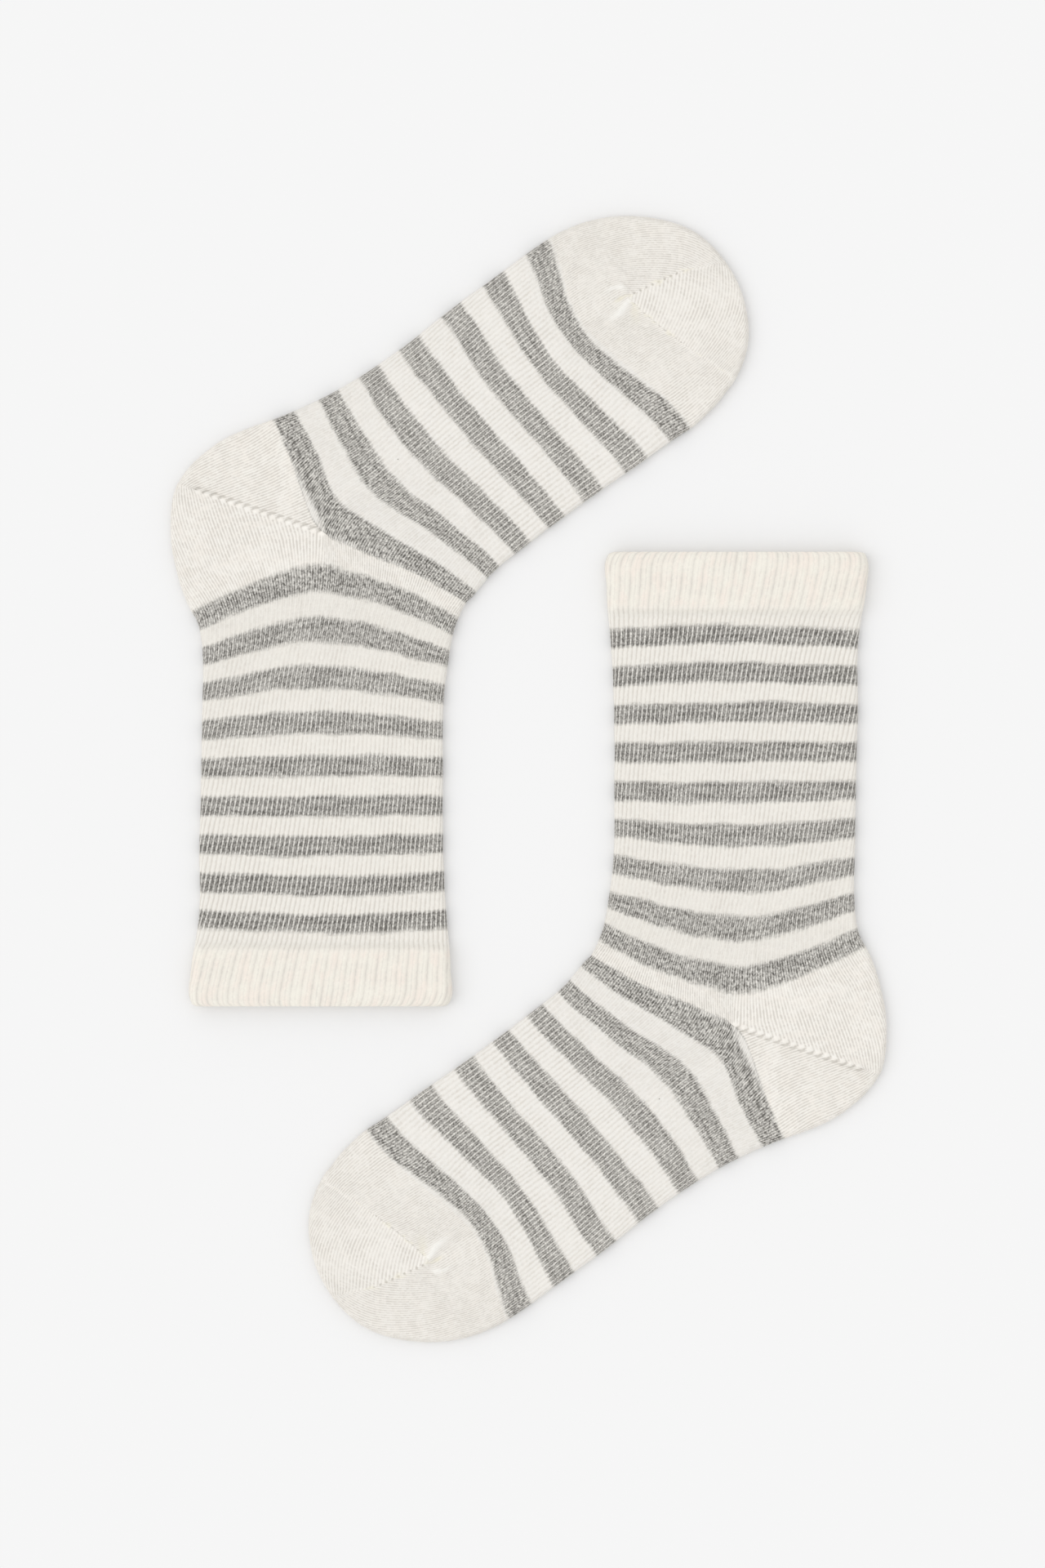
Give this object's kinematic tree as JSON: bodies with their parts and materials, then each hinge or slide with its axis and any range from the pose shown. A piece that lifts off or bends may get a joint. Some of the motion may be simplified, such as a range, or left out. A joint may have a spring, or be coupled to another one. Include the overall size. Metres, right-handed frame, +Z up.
{
  "type": "pair of socks",
  "caption": "Striped knitted crew socks with ribbed cuffs and plain heels and toes, laid flat on their sides, one turned half round to the other.",
  "frame": {"origin": "on the surface the socks lie on, midway between them, where a half turn puts one sock on the other", "axes": "+Z up off the surface, +Y along the legs, towards the cuff of sock a, +X across, towards sock a's heel side"},
  "size_m": [0.1928, 0.3028, 0.0053],
  "materials": {
    "cream_rib": "matt ribbed cotton knit",
    "striped_knit": "matt plain cotton knit, cream with melange grey stripes",
    "cream_knit": "matt plain cotton knit"
  },
  "bodies": {
    "root": {"sock_a_cuff": "cream_rib", "sock_a_leg": "striped_knit", "sock_a_heel": "cream_knit", "sock_a_foot": "striped_knit", "sock_a_toe": "cream_knit", "sock_b_cuff": "cream_rib", "sock_b_leg": "striped_knit", "sock_b_heel": "cream_knit", "sock_b_foot": "striped_knit", "sock_b_toe": "cream_knit"}
  },
  "joints": []
}
